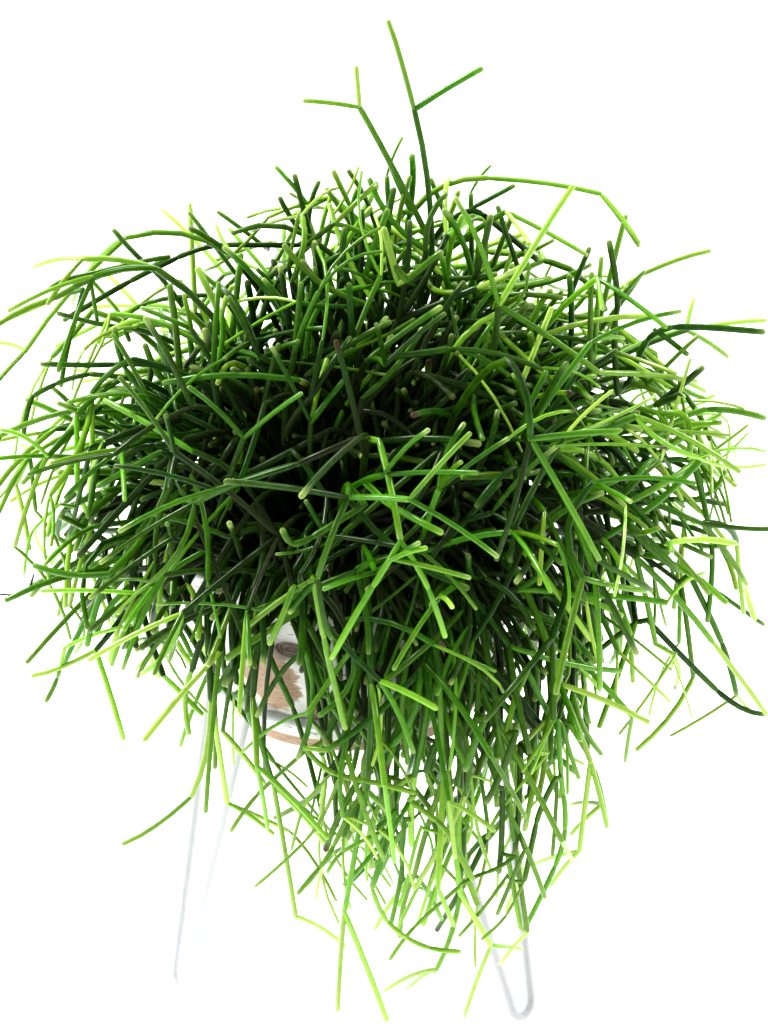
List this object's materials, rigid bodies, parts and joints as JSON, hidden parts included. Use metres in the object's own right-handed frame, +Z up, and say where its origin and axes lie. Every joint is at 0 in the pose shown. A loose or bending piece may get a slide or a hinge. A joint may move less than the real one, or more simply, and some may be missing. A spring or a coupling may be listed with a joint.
{
  "type": "potted mistletoe cactus",
  "caption": "Bushy mistletoe cactus with thin forking stems in a tapered bark-look pot, held off the floor by a white wire stand on hairpin legs.",
  "frame": {"origin": "on the floor, under the middle of the pot and of the stand's ring", "axes": "+Z up; +X to the right and -Y towards the viewer, as the plant is usually seen from the front"},
  "size_m": [0.4066, 0.3719, 0.4884],
  "materials": {
    "mature_stem": "satin, slightly waxy",
    "young_stem": "satin, slightly waxy",
    "potting_soil": "matt, crumbly",
    "pot_bark": "matt, papery bark look",
    "white_wire": "white powder coat"
  },
  "bodies": {
    "root": {"pot": "pot_bark", "soil": "potting_soil", "spray_01": "mature_stem", "spray_02": "mature_stem", "spray_03": "young_stem", "spray_04": "mature_stem", "spray_05": "mature_stem", "spray_06": "mature_stem", "spray_07": "mature_stem", "spray_08": "young_stem", "spray_09": "mature_stem", "spray_10": "mature_stem", "spray_11": "mature_stem", "spray_12": "mature_stem", "spray_13": "young_stem", "spray_14": "young_stem", "spray_15": "young_stem", "spray_16": "young_stem", "spray_17": "young_stem", "spray_18": "mature_stem", "spray_19": "mature_stem", "spray_20": "young_stem", "spray_21": "mature_stem", "spray_22": "mature_stem", "spray_23": "mature_stem", "spray_24": "mature_stem", "spray_25": "mature_stem", "spray_26": "mature_stem", "spray_27": "mature_stem", "spray_28": "mature_stem", "spray_29": "mature_stem", "spray_30": "mature_stem", "spray_31": "mature_stem", "spray_32": "mature_stem", "spray_33": "mature_stem", "spray_34": "mature_stem", "spray_35": "mature_stem", "spray_36": "mature_stem", "spray_37": "mature_stem", "spray_38": "mature_stem", "spray_39": "mature_stem", "spray_40": "mature_stem", "spray_41": "mature_stem", "spray_42": "mature_stem", "spray_43": "mature_stem", "spray_44": "mature_stem", "spray_45": "mature_stem", "spray_46": "mature_stem", "spray_47": "mature_stem", "spray_48": "mature_stem", "spray_49": "mature_stem", "spray_50": "mature_stem", "spray_51": "mature_stem", "spray_52": "mature_stem", "stand_leg_1": "white_wire", "stand_leg_2": "white_wire", "stand_leg_3": "white_wire", "stand_ring": "white_wire"}
  },
  "joints": []
}
